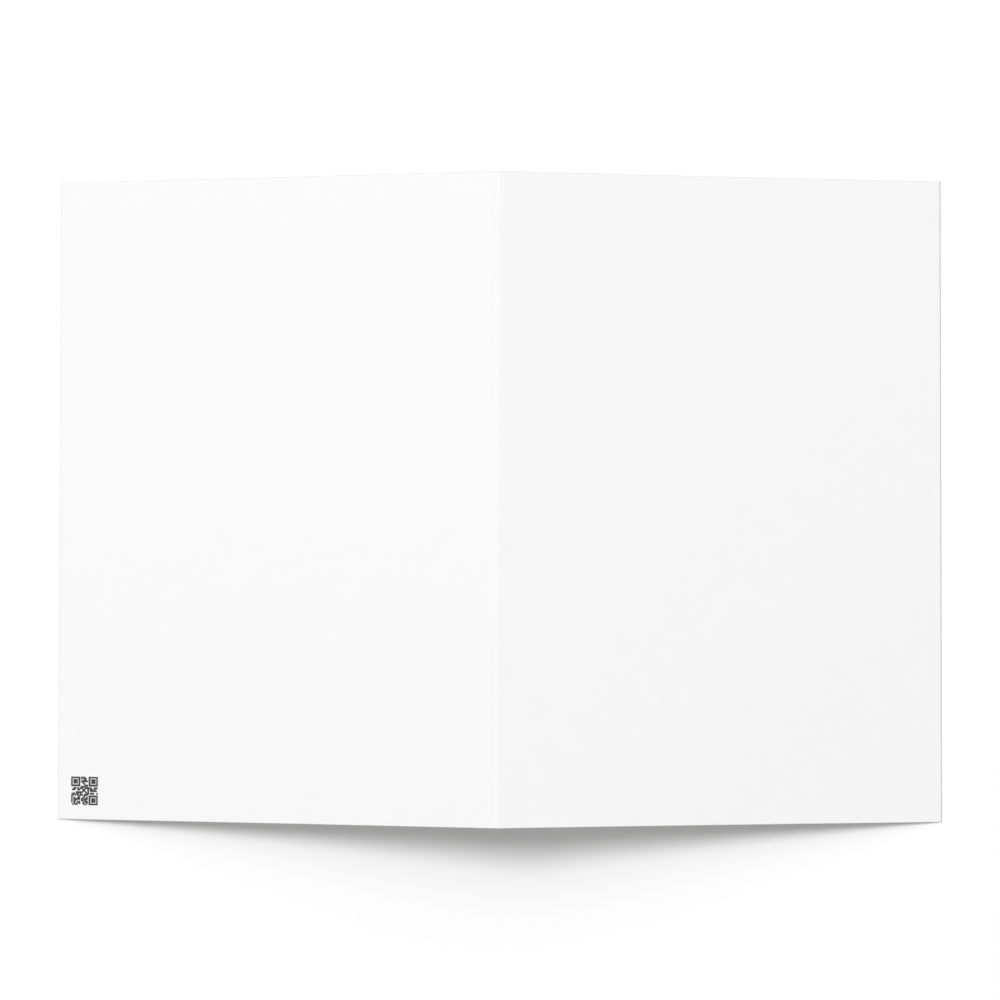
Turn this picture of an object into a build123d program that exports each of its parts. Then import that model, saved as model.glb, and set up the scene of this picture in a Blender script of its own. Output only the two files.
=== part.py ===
"""Greeting card: one sheet of board, scored down its middle and folded once.

It lies opened on a table like a low tent, outside up, resting on the two
cut edges that run beside the fold. Millimetres, +Z up, X across the open
card, Y along the fold, origin on the table under the middle of the fold.
"""

from build123d import *

import os
from math import asin, atan, cos, radians, sin

# The blank, cut for a 5 x 7 inch card that opens to 10 x 7 inches
cover_width = 127.0  # from the fold to the cut edge, along the sheet
cover_height = 177.8  # along the fold
board = 0.35  # thickness of the board

# How far it lies open
lean = 14.8  # degrees between the table and the chord of a cover
sag = 0.8  # how far the middle of a cover hangs below that chord

# The score: a channel pressed into the outside, a bead raised inside
floor_width = 1.10  # of the channel's floor, which is rounded over the fold
wall_width = 0.37  # of each sloping wall, from the floor out to the lip
floor_sink = 0.06  # from the lips down to the sides of the floor
floor_rise = 0.02  # from those sides up to the crest
lip_radius = 0.50
floor_corner_radius = 0.40
bead_width = 1.00
bead_height = 0.17
bead_foot_radius = 0.20

# Each cover is a shallow arc about an axis high above the table
lip_x = floor_width / 2 + wall_width
chord = cover_width - lip_x
bow = 2 * atan(2 * sag / chord)  # half of the arc's turn
arc_radius = chord / (2 * sin(bow))
edge_slope = radians(lean) - bow
fold_slope = radians(lean) + bow
edge_x = lip_x + chord * cos(radians(lean))
edge_z = board * cos(edge_slope)
axis_x = edge_x + arc_radius * sin(edge_slope)
axis_z = edge_z + arc_radius * cos(edge_slope)


def on_cover(slope, depth):
    """Point of the right cover where it has this slope, this deep in the board."""
    radius = arc_radius + depth
    return (axis_x - radius * sin(slope), axis_z - radius * cos(slope))


outer_edge = on_cover(edge_slope, 0)
outer_middle = on_cover(radians(lean), 0)
lip = on_cover(fold_slope, 0)
inner_edge = on_cover(edge_slope, board)
inner_middle = on_cover(radians(lean), board)
bead_foot = on_cover(asin((axis_x - bead_width / 2) / (arc_radius + board)), board)

floor_side = (floor_width / 2, lip[1] - floor_sink)
crest = (0, floor_side[1] + floor_rise)
bead_crest = (0, bead_foot[1] - bead_height)

with BuildPart() as folded_card:
    # The sheet's section, seen along the fold
    with BuildSketch(Plane.XZ) as section:
        with BuildLine():
            TangentArc(crest, floor_side, tangent=(1, 0))
            Line(floor_side, lip)
            ThreePointArc(lip, outer_middle, outer_edge)
            Line(outer_edge, inner_edge)
            ThreePointArc(inner_edge, inner_middle, bead_foot)
            TangentArc(bead_crest, bead_foot, tangent=(1, 0))
            Line(bead_crest, crest)
        make_face()
        mirror(about=Plane.YZ)

        # The score's corners, all softly rounded by the pressed fibres
        for (x, z), radius in (
            (lip, lip_radius),
            (floor_side, floor_corner_radius),
            (bead_foot, bead_foot_radius),
        ):
            corners = section.vertices().filter_by(
                lambda v: abs(abs(v.X) - x) < 1e-4 and abs(v.Y - z) < 1e-4
            )
            fillet(corners, radius=radius)
    extrude(amount=cover_height / 2, both=True)

folded_card.part.label = "folded_card"

os.makedirs("parts", exist_ok=True)
export_step(folded_card.part, "parts/folded_card.step")

box = folded_card.part.bounding_box()
print(f"open {box.size.X:.2f} x {box.size.Y:.2f} mm, fold {box.max.Z:.2f} mm above the table")
print(f"volume {folded_card.part.volume:.0f} mm3, {len(folded_card.faces())} faces")
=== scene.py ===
# %% [markdown]
# # A greeting card of scored board
#
# The card is one sheet of stiff white board. A rule has pressed a channel down its middle,
# and the sheet is folded once along that channel. It lies opened like a low tent, outside up,
# and rests on its two side edges. A small square code is printed near the foot of the back cover.
#
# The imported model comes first, because every piece in this scene stands in its frame.

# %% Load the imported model
import math

import bpy
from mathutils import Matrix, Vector


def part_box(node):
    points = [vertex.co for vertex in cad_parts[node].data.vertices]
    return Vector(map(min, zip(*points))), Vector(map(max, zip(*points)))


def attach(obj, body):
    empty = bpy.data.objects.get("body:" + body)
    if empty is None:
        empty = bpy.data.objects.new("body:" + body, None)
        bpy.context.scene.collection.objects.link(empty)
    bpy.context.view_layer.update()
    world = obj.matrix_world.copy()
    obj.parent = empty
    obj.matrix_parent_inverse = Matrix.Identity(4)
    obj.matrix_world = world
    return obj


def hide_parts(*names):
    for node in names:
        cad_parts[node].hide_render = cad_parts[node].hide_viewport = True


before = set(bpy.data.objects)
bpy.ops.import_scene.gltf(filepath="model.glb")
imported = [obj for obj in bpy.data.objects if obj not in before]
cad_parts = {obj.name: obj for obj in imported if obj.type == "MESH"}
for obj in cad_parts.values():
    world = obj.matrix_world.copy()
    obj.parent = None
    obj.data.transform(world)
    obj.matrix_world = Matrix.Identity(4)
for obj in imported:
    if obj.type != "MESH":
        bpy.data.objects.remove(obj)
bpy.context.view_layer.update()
low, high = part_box("folded_card")
print("card", [round(1000 * (b - a), 2) for a, b in zip(low, high)], "mm")

# %% [markdown]
# ## The sheet's sizes
#
# The board is a flat sheet, so all of its shape is in one section, seen along the fold.
# The section has few sizes: how wide a cover is, how thick the board, how far it leans
# and sags, and how the score is pressed. The rest follows from those.

# %% Sizes of the sheet, in metres
MM = 0.001
cover_width = 127.0 * MM
board = 0.35 * MM
lean = math.radians(14.8)
sag = 0.8 * MM

floor_width = 1.10 * MM
wall_width = 0.37 * MM
floor_sink = 0.06 * MM
floor_rise = 0.02 * MM
lip_radius = 0.50 * MM
floor_corner_radius = 0.40 * MM
bead_width = 1.00 * MM
bead_height = 0.17 * MM
bead_foot_radius = 0.20 * MM

foot_y, head_y = low[1], high[1]
cover_height = head_y - foot_y

# %% Where the section's corners lie
lip_x = floor_width / 2 + wall_width
chord = cover_width - lip_x
bow = 2 * math.atan(2 * sag / chord)
arc_radius = chord / (2 * math.sin(bow))
edge_slope = lean - bow
fold_slope = lean + bow
edge_x = lip_x + chord * math.cos(lean)
axis_x = edge_x + arc_radius * math.sin(edge_slope)
axis_z = board * math.cos(edge_slope) + arc_radius * math.cos(edge_slope)


def on_cover(slope, depth=0.0):
    """Point (x, z) of the right cover where it has this slope, this deep in the board."""
    radius = arc_radius + depth
    return (axis_x - radius * math.sin(slope), axis_z - radius * math.cos(slope))


lip = on_cover(fold_slope)
outer_edge = on_cover(edge_slope)
foot_slope = math.asin((axis_x - bead_width / 2) / (arc_radius + board))
bead_foot = on_cover(foot_slope, board)
floor_side = (floor_width / 2, lip[1] - floor_sink)
crest_z = floor_side[1] + floor_rise
bead_z = bead_foot[1] - bead_height
print(f"crest {crest_z / MM:.2f} mm high, the CAD's top {high[2] / MM:.2f} mm")

# %% [markdown]
# ## Tracing the section with spin and extrude
#
# The fold line is the pencil. Spun about an axis along Y it draws an arc of the section, and
# extruded it draws a straight, and each stroke leaves a strip of the sheet's surface behind it.
# Six strokes go once round the right half: floor of the channel, wall, outer face, cut edge,
# inner face and bead. A mirror makes the left half later. Moving a flat grid by a formula would
# also give the shape, but spin keeps each arc true, and its steps are easy to count.

# %% Helpers for edit mode
def start_edit(piece):
    """Enters edit mode on one piece, with nothing selected."""
    bpy.ops.object.select_all(action="DESELECT")
    bpy.context.view_layer.objects.active = piece
    piece.select_set(True)
    bpy.ops.object.mode_set(mode="EDIT")
    bpy.ops.mesh.select_all(action="DESELECT")


def select_edges(piece, wanted):
    """Selects the edges whose middle and direction pass the test, and nothing else."""
    bpy.ops.mesh.select_all(action="DESELECT")
    bpy.ops.object.mode_set(mode="OBJECT")
    mesh = piece.data
    for edge in mesh.edges:
        a, b = (mesh.vertices[i].co for i in edge.vertices)
        edge.select = bool(wanted((a + b) / 2, b - a))
    bpy.ops.object.mode_set(mode="EDIT")
    bpy.ops.mesh.select_mode(type="EDGE")


def select_faces(piece, wanted):
    """Selects the faces whose centre passes the test, and nothing else."""
    bpy.ops.mesh.select_all(action="DESELECT")
    bpy.ops.mesh.select_mode(type="FACE")
    bpy.ops.object.mode_set(mode="OBJECT")
    for face in piece.data.polygons:
        face.select = bool(wanted(face.center))
    bpy.ops.object.mode_set(mode="EDIT")


def arc(centre, turn, steps):
    """Spins the selected line about an axis along Y. A positive turn takes +Z towards +X."""
    bpy.ops.mesh.spin(steps=steps, angle=-turn, center=(centre[0], 0, centre[1]), axis=(0, 1, 0))


def straight(dx, dz):
    """Extrudes the selected line along the section."""
    bpy.ops.mesh.extrude_edges_move(TRANSFORM_OT_translate={"value": (dx, 0, dz)})


# %% The fold line, cut from a plane
rows = 24
middle_y = (foot_y + head_y) / 2

bpy.ops.object.select_all(action="DESELECT")
bpy.ops.mesh.primitive_plane_add(size=1, location=(0, middle_y, crest_z))
sheet = bpy.context.object
sheet.name = "card_sheet"
sheet.dimensions = (board, cover_height, 0)
bpy.ops.object.transform_apply(location=True, rotation=True, scale=True)

start_edit(sheet)
select_edges(sheet, lambda middle, along: middle.x < 0 and abs(along.y) > board)
bpy.ops.mesh.select_all(action="INVERT")
bpy.ops.mesh.delete(type="EDGE")
bpy.ops.mesh.select_all(action="SELECT")
bpy.ops.transform.translate(value=(board / 2, 0, 0))
bpy.ops.mesh.subdivide(number_cuts=rows - 1)
print("fold line of", rows, "edges")

# %% Trace the right half of the sheet
cover_steps = 24
floor_steps = 6
bead_steps = 4

half_floor = floor_width / 2
floor_turn = 2 * math.atan(floor_rise / half_floor)
floor_radius = half_floor / math.sin(floor_turn)
half_bead = bead_width / 2
bead_turn = 2 * math.atan(bead_height / half_bead)
bead_radius = half_bead / math.sin(bead_turn)

arc((0, crest_z - floor_radius), floor_turn, floor_steps)
straight(wall_width, floor_sink)
arc((axis_x, axis_z), edge_slope - fold_slope, cover_steps)
straight(-board * math.sin(edge_slope), -board * math.cos(edge_slope))
arc((axis_x, axis_z), foot_slope - edge_slope, cover_steps)
arc((0, bead_z + bead_radius), bead_turn, bead_steps)
bpy.ops.object.mode_set(mode="OBJECT")
print("half sheet", len(sheet.data.vertices), "vertices")

# %% [markdown]
# ## Rounding the score and closing the sheet
#
# Pressed board has no sharp corners, so the three corners of the score are bevelled with several
# segments. A bevel's offset is the distance from the old corner to where the arc starts, which is
# the radius times the tangent of half the turn. The mirror then makes the other half, and the two
# open ends, at the card's foot and head, are filled with one face each.
#
# The blade leaves the cut edges a little soft, so a last bevel takes every sharp edge. A bisect
# close beside each edge, and beside the lips, keeps the soft shading there and off the covers.

# %% Round the corners of the score
wall_slope = math.atan(floor_sink / wall_width)
corners = {
    "lip": (lip, wall_slope + fold_slope, lip_radius),
    "floor side": (floor_side, floor_turn + wall_slope, floor_corner_radius),
    "bead foot": (bead_foot, bead_turn + foot_slope, bead_foot_radius),
}
near = 0.02 * MM  # how close an edge lies to the corner that it stands for
corner_segments = 4
for name, ((x, z), turn, radius) in corners.items():
    start_edit(sheet)
    select_edges(
        sheet,
        lambda middle, along: abs(along.y) > board and math.hypot(middle.x - x, middle.z - z) < near,
    )
    offset = radius * math.tan(turn / 2)
    bpy.ops.mesh.bevel(offset=offset, segments=corner_segments, affect="EDGES")
    bpy.ops.object.mode_set(mode="OBJECT")
    print(f"{name}: turned {math.degrees(turn):.1f} degrees, bevelled {offset / MM:.3f} mm")

# %% Mirror and close the sheet
mirror = sheet.modifiers.new("other cover", "MIRROR")
mirror.use_clip = True
mirror.merge_threshold = 0.001 * MM
bpy.ops.object.modifier_apply(modifier=mirror.name)

for end in (foot_y, head_y):
    start_edit(sheet)
    select_edges(sheet, lambda middle, along: abs(middle.y - end) < near and abs(along.y) < near)
    bpy.ops.mesh.edge_face_add()
    bpy.ops.object.mode_set(mode="OBJECT")

print("closed sheet", len(sheet.data.polygons), "faces")

# %% Soften the cut edges
cut_softness = 0.03 * MM
soft_segments = 2
sharp_from = math.radians(60)
smooth_up_to = math.radians(35)
beside = 0.15 * MM  # from a cut edge to its bisect; a lip's lies twice as far off

start_edit(sheet)
for side in (-1, 1):
    for place, across in (
        ((side * (outer_edge[0] - beside), 0, 0), (1, 0, 0)),
        ((side * (lip_x + 2 * beside), 0, 0), (1, 0, 0)),
        ((0, side * (head_y - beside), 0), (0, 1, 0)),
    ):
        bpy.ops.mesh.select_all(action="SELECT")
        bpy.ops.mesh.bisect(plane_co=place, plane_no=across)
bpy.ops.mesh.select_all(action="SELECT")
bpy.ops.mesh.normals_make_consistent(inside=False)
bpy.ops.object.mode_set(mode="OBJECT")

soften = sheet.modifiers.new("cut edges", "BEVEL")
soften.width = cut_softness
soften.segments = soft_segments
soften.limit_method = "ANGLE"
soften.angle_limit = sharp_from
bpy.ops.object.modifier_apply(modifier=soften.name)
bpy.ops.object.shade_smooth_by_angle(angle=smooth_up_to)
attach(sheet, "root")
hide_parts("folded_card")
print("sheet", len(sheet.data.polygons), "faces")

# %% [markdown]
# ## Shader maths as plain expressions
#
# A finish is a recipe of small sums: this noise times that mask, plus a base value. Wrapping a
# socket in a class whose operators add Math nodes lets the recipe read as a formula, and one
# method adds every other kind of node.

# %% Signal, a socket that can be added and multiplied
class Signal:
    """An output socket on which Python's arithmetic adds Math nodes."""

    def __init__(self, socket):
        self.socket = socket

    def math(self, operation, *values):
        node = self.socket.id_data.nodes.new("ShaderNodeMath")
        node.operation = operation
        for slot, value in zip(node.inputs, values):
            plug(slot, value)
        return Signal(node.outputs[0])

    def __add__(self, other):
        return self.math("ADD", self, other)

    def __sub__(self, other):
        return self.math("SUBTRACT", self, other)

    def __rsub__(self, other):
        return self.math("SUBTRACT", other, self)

    def __mul__(self, other):
        return self.math("MULTIPLY", self, other)

    def __gt__(self, other):
        return self.math("GREATER_THAN", self, other)

    def __lt__(self, other):
        return self.math("LESS_THAN", self, other)

    def __abs__(self):
        return self.math("ABSOLUTE", self)

    __radd__ = __add__
    __rmul__ = __mul__

    def output(self, name):
        """Another output of the same node."""
        return Signal(self.socket.node.outputs[name])


def plug(slot, value):
    """Links a signal to an input, or sets the input to a plain value."""
    if isinstance(value, Signal):
        slot.id_data.links.new(value.socket, slot)
    elif slot.type == "RGBA" and len(value) == 3:
        slot.default_value = (*value, 1)
    else:
        slot.default_value = value


# %% Finish, a recipe made one node at a time
class Finish:
    """A material or world under construction."""

    def __init__(self, owner):
        owner.use_nodes = True
        self.owner = owner
        self.tree = owner.node_tree
        self.tree.nodes.clear()

    def node(self, kind, settings=None, sockets=None):
        """Adds a node, with its settings first and then its sockets, and gives its first output."""
        node = self.tree.nodes.new("ShaderNode" + kind)
        for name, value in (settings or {}).items():
            setattr(node, name, value)
        for name, value in (sockets or {}).items():
            plug(node.inputs[name], value)
        return Signal(node.outputs[0]) if node.outputs else node

    def place(self):
        """Object coordinates, in metres."""
        return self.node("TexCoord").output("Object")

    def split(self, vector):
        """The x and y of a vector."""
        x = self.node("SeparateXYZ", {}, {"Vector": vector})
        return x, x.output("Y")

    def noise(self, point, grain, detail=2.0):
        """Noise about 0, whose blotches are about one grain across, in metres."""
        sockets = {"Vector": point, "Scale": 1 / grain, "Detail": detail}
        return self.node("TexNoise", {}, sockets) - 0.5

    def mix(self, share, first, second):
        """From one colour to another."""
        sockets = {0: share, 6: first, 7: second}
        mixed = self.node("Mix", {"data_type": "RGBA"}, sockets)
        return mixed.output(2)

    def seen(self):
        """1 for rays from the camera and for those that gloss or glass sends on, else 0."""
        path = self.node("LightPath")
        return path + path.output("Is Glossy Ray") + path.output("Is Transmission Ray")

    def relief(self, height):
        """The normal of a surface that stands this high, in metres."""
        return self.node("Bump", {}, {"Strength": 1.0, "Distance": 1.0, "Height": height})

    def surface(self, sockets):
        """Ends the recipe in a Principled shader."""
        shader = self.node("BsdfPrincipled", {}, sockets)
        self.node("OutputMaterial", {}, {"Surface": shader})


def new_finish(name):
    return Finish(bpy.data.materials.new(name))


def grey(level):
    """A neutral colour that sends back this share of the light."""
    return (level, level, level)


# %% [markdown]
# ## The board's three surfaces
#
# The outside of a card has a smooth satin coating, and the inside is left uncoated, so that ink
# dries on it. Both show the sheet's formation: fibres gather in faint clouds a few millimetres
# wide. The coating follows the fibres under it, and a finer tooth breaks its gloss. In the score
# the rule has pressed it rougher, with fine cracks. Its colour there is paler, partly from the
# pressed coating and partly as a painted highlight along the fold, and its two walls get painted
# shade. The cut edge shows the bare fibres, and a thin darker rim runs along each cut edge on the
# outside. A wider, darker band of painted shadow runs along the front cover's side edge. All of it
# could be one scan of real board, but noise with its grain in metres has no seams, and it keeps
# its size on any piece.

# %% Grain sizes, from the widest to the finest
FORMATION = 6.0 * MM
FIBRE = 0.35 * MM
UNCOATED_FIBRE = 0.28 * MM
TOOTH = 0.09 * MM
CRACK = 0.08 * MM
STREAK = 0.06 * MM

# %% The coated outside
tooth_height = 0.011 * MM
fibre_height = 0.009 * MM
cloud_height = 0.004 * MM
crack_height = 0.016 * MM
cut_rim = 0.12 * MM
edge_shadow_width = 0.25 * MM


def coated_board():
    finish = new_finish("coated_board")
    point = finish.place()
    x, y = finish.split(point)
    cloud = finish.noise(point, FORMATION)
    fibre = finish.noise(point, FIBRE, detail=4.0)
    tooth = finish.noise(point, TOOTH, detail=3.0)

    # A thin darker rim runs along every cut edge of the outside.
    beside_cut = abs(x) > outer_edge[0] - cut_rim
    beside_end = abs(y) > head_y - cut_rim
    on_rim = beside_cut.math("MAXIMUM", beside_cut, beside_end)
    # Painted shadow: a dark band along the front cover's side edge stands in for that edge's shadow
    # on the table.
    painted_edge_shadow = x > outer_edge[0] - edge_shadow_width
    in_score = abs(x) < lip_x
    # Painted shade: the score's two walls are darkened, as where the channel's side turns away from
    # the lamp.
    painted_wall_shade = in_score * (abs(x) > half_floor)

    # In the score the tone goes to the paler grey, partly for the pressed coating and partly as a
    # painted highlight along the fold's crest.
    tone = 0.5 + cloud * 0.30 + fibre * 0.45 + in_score * 0.5
    colour = finish.mix(tone, grey(0.876), grey(0.903))
    colour = finish.mix(on_rim, colour, grey(0.665))
    colour = finish.mix(painted_edge_shadow, colour, grey(0.505))
    colour = finish.mix(painted_wall_shade * 0.1, colour, grey(0.822))

    height = tooth * tooth_height + fibre * fibre_height + cloud * cloud_height
    cracks = (finish.noise(point, CRACK, detail=3.0) + 0.5) * in_score * crack_height
    finish.surface({
        "Base Color": colour,
        "Roughness": 0.50 + cloud * 0.10 + fibre * 0.08 + in_score * 0.22,
        "Specular IOR Level": 0.45,
        "Normal": finish.relief(height + cracks),
    })
    return finish.owner


# %% The uncoated inside
uncoated_height = 0.006 * MM


def uncoated_board():
    finish = new_finish("uncoated_board")
    point = finish.place()
    cloud = finish.noise(point, FORMATION)
    fibre = finish.noise(point, UNCOATED_FIBRE, detail=5.0)
    tone = 0.5 + cloud * 0.40 + fibre * 0.50
    finish.surface({
        "Base Color": finish.mix(tone, (0.870, 0.866, 0.850), (0.905, 0.903, 0.890)),
        "Roughness": 0.82 + fibre * 0.15,
        "Specular IOR Level": 0.30,
        "Normal": finish.relief((fibre + cloud) * uncoated_height),
    })
    return finish.owner


# %% The cut edge
streak_height = 0.010 * MM


def cut_board():
    finish = new_finish("cut_board")
    streaks = finish.noise(finish.place(), STREAK, detail=3.0)
    finish.surface({
        "Base Color": finish.mix(0.5 + streaks, (0.66, 0.65, 0.63), (0.82, 0.815, 0.80)),
        "Roughness": 0.92,
        "Specular IOR Level": 0.20,
        "Normal": finish.relief(streaks * streak_height),
    })
    return finish.owner


# %% Each face gets its finish by the way it looks
OUTSIDE, INSIDE, CUT = 0, 1, 2
level_enough = 0.6  # a face whose normal's z is past this belongs to a cover

for make in (coated_board, uncoated_board, cut_board):
    sheet.data.materials.append(make())
for face in sheet.data.polygons:
    face.material_index = CUT
    if face.normal.z > level_enough:
        face.material_index = OUTSIDE
    if face.normal.z < -level_enough:
        face.material_index = INSIDE
counts = [sum(face.material_index == i for face in sheet.data.polygons) for i in range(3)]
print("faces outside, inside, cut:", counts)

# %% [markdown]
# ## The printed code
#
# The code is a square of small modules, dark or bare, with a ringed target in three of its
# corners. Here the other modules follow a sum of their column and row, so the code says nothing.
# A grid gives the modules, the bare ones are deleted, and the rest get the thickness of a film
# of ink. Print in the board's own colour would blur at this size, and a film stays crisp.

# %% Place and size of the code
modules = 21
code_size = 7.9 * MM
code_from_side = 3.88 * MM
code_from_foot = 3.97 * MM
ink_gain = 0.10 * MM  # how far the ink creeps into a bare module
ink_film = 0.03 * MM

target_reach = 4  # modules from a target's middle to its bare margin
first, last = target_reach - 1, modules - target_reach
TARGETS = ((first, first), (last, first), (last, last))
inked_rings = (0, 1, 3)
cycle, inked_share = 37, 18


def is_dark(column, row):
    """Whether the module is inked, counting columns and rows from the code's top left."""
    for target_column, target_row in TARGETS:
        ring = max(abs(column - target_column), abs(row - target_row))
        if ring <= target_reach:
            return ring in inked_rings
    return (column * row * (column + row) + 5 * column + 3 * row) % cycle < inked_share


# %% Make the code
bpy.ops.object.select_all(action="DESELECT")
bpy.ops.mesh.primitive_grid_add(x_subdivisions=modules, y_subdivisions=modules, size=code_size)
code = bpy.context.object
code.name = "code_print"
module = code_size / modules


def is_bare(centre):
    column = int((centre.x + code_size / 2) / module)
    row = int((code_size / 2 - centre.y) / module)
    return not is_dark(column, row)


start_edit(code)
select_faces(code, is_bare)
bpy.ops.mesh.inset(thickness=ink_gain, use_boundary=False)
bpy.ops.mesh.delete(type="FACE")
bpy.ops.object.mode_set(mode="OBJECT")
film = code.modifiers.new("film", "SOLIDIFY")
film.thickness = ink_film
film.offset = 0
bpy.ops.object.modifier_apply(modifier=film.name)

# %% Lay the code on the back cover
code_middle = code_from_side + code_size / 2  # along the sheet, from the side edge
code_slope = edge_slope + code_middle / arc_radius
code_x, code_z = on_cover(code_slope)
code.rotation_euler = (0, -code_slope, 0)
code.location = (-code_x, foot_y + code_from_foot + code_size / 2, code_z)
bpy.ops.object.transform_apply(location=True, rotation=True, scale=True)
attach(code, "root")
print("inked modules", sum(is_dark(c, r) for c in range(modules) for r in range(modules)))

# %% Ink
MOTTLE = 0.12 * MM


def black_ink():
    finish = new_finish("black_ink")
    mottle = finish.noise(finish.place(), MOTTLE, detail=3.0)
    finish.surface({
        "Base Color": finish.mix(0.5 + mottle, (0.024, 0.024, 0.026), (0.041, 0.041, 0.043)),
        "Roughness": 0.55 + mottle * 0.2,
        "Specular IOR Level": 0.40,
    })
    return finish.owner


code.data.materials.append(black_ink())

# %% [markdown]
# ## Floor, light and camera
#
# The card was photographed from almost straight above on a white table, under a soft lamp beyond
# its head and to the left. That lamp gives under half of the light. A wider one beside it and the
# white room give the rest, so the raised foot edge throws a soft shadow towards us. The room is a
# little brighter on the right and beyond the head, which keeps the two covers nearly equal. World
# light by direction is cheap: a sum of the ray's x and y is enough, and no walls are modelled.
# The camera sees a white background whatever the light is, and so does what gloss reflects.

# %% Floor
floor_size = 6.0

bpy.ops.object.select_all(action="DESELECT")
bpy.ops.mesh.primitive_plane_add(size=floor_size, location=(0, 0, 0))
floor = bpy.context.object
floor.name = "floor"

# %% The floor's white
white_from = 0.25
all_white_from = 0.7


def white_floor():
    """White table, seen a little brighter than it is lit, and pure white far from the sheet."""
    finish = new_finish("white_floor")
    x, y = finish.split(finish.place())
    seen = finish.seen()
    lit = finish.node("BsdfDiffuse", {}, {"Color": finish.mix(seen, grey(0.90), grey(1.0))})
    white = finish.node("Emission", {}, {"Color": grey(1.0), "Strength": 1.0})
    reach = {"Value": x * x + y * y, "From Min": white_from**2, "From Max": all_white_from**2}
    far = finish.node("MapRange", {}, reach)
    shader = finish.node("MixShader", {}, {0: seen * far, 1: lit, 2: white})
    finish.node("OutputMaterial", {}, {"Surface": shader})
    return finish.owner


floor.data.materials.append(white_floor())

# %% The white room
room_level = 0.474
brighter_right = 0.46
brighter_beyond = 0.345

room = Finish(bpy.data.worlds.new("room"))
bpy.context.scene.world = room.owner
right, beyond = room.split(room.node("TexCoord").output("Generated"))
level = (right * brighter_right + beyond * brighter_beyond + 1.0) * room_level
dim = room.node("Background", {}, {"Color": grey(1.0), "Strength": level})
white = room.node("Background", {}, {"Color": grey(1.0), "Strength": 1.0})
mixed = room.node("MixShader", {}, {0: room.seen(), 1: dim, 2: white})
room.node("OutputWorld", {}, {"Surface": mixed})
print("room", room_level, "of plain white overhead")

# %% Two soft lamps
lamp_distance = 4.5


def soft_lamp(name, toward, half_angle, level):
    """A round lamp whose light on a level sheet is this share of plain white."""
    toward = Vector(toward).normalized()
    radius = lamp_distance * math.tan(math.radians(half_angle))
    light = bpy.data.lights.new(name, "AREA")
    light.shape = "DISK"
    light.size = 2 * radius
    light.energy = level * math.pi**2 * (lamp_distance**2 + radius**2) / toward.z
    lamp = bpy.data.objects.new(name, light)
    bpy.context.scene.collection.objects.link(lamp)
    lamp.location = toward * lamp_distance
    lamp.rotation_euler = toward.to_track_quat("Z", "Y").to_euler()
    print(f"{name}: {2 * radius:.2f} m wide, {light.energy:.1f} W")


soft_lamp("main_lamp", toward=(-0.245, 0.30, 1.0), half_angle=8.9, level=0.42)
soft_lamp("fill_lamp", toward=(-0.25, 0.44, 1.0), half_angle=20.3, level=0.147)

# %% Camera, fitted to the corners of the card in the photograph
camera_place = (0.02553, -0.01529, 1.10658)
camera_tilt = (1.9465, 1.7614, 0.0891)  # degrees about x, y and z
camera_shift = (0.0317, -0.0795)  # widths of the picture
picture_width = 1000  # pixels
camera_focus = 3972  # pixels
sensor_width = 36  # millimetres
nearest, farthest = 0.01, 20.0  # what the camera sees, in metres

camera_data = bpy.data.cameras.new("camera")
camera_data.shift_x, camera_data.shift_y = camera_shift
camera_data.sensor_width = sensor_width
camera_data.lens = camera_focus * sensor_width / picture_width
camera_data.clip_start, camera_data.clip_end = nearest, farthest
camera = bpy.data.objects.new("camera", camera_data)
bpy.context.scene.collection.objects.link(camera)
camera.location = camera_place
camera.rotation_euler = [math.radians(angle) for angle in camera_tilt]
bpy.context.scene.camera = camera
bpy.context.scene.view_settings.view_transform = "Standard"
print(f"lens {camera_data.lens:.1f} mm, {camera_place[2]:.2f} m above the table")
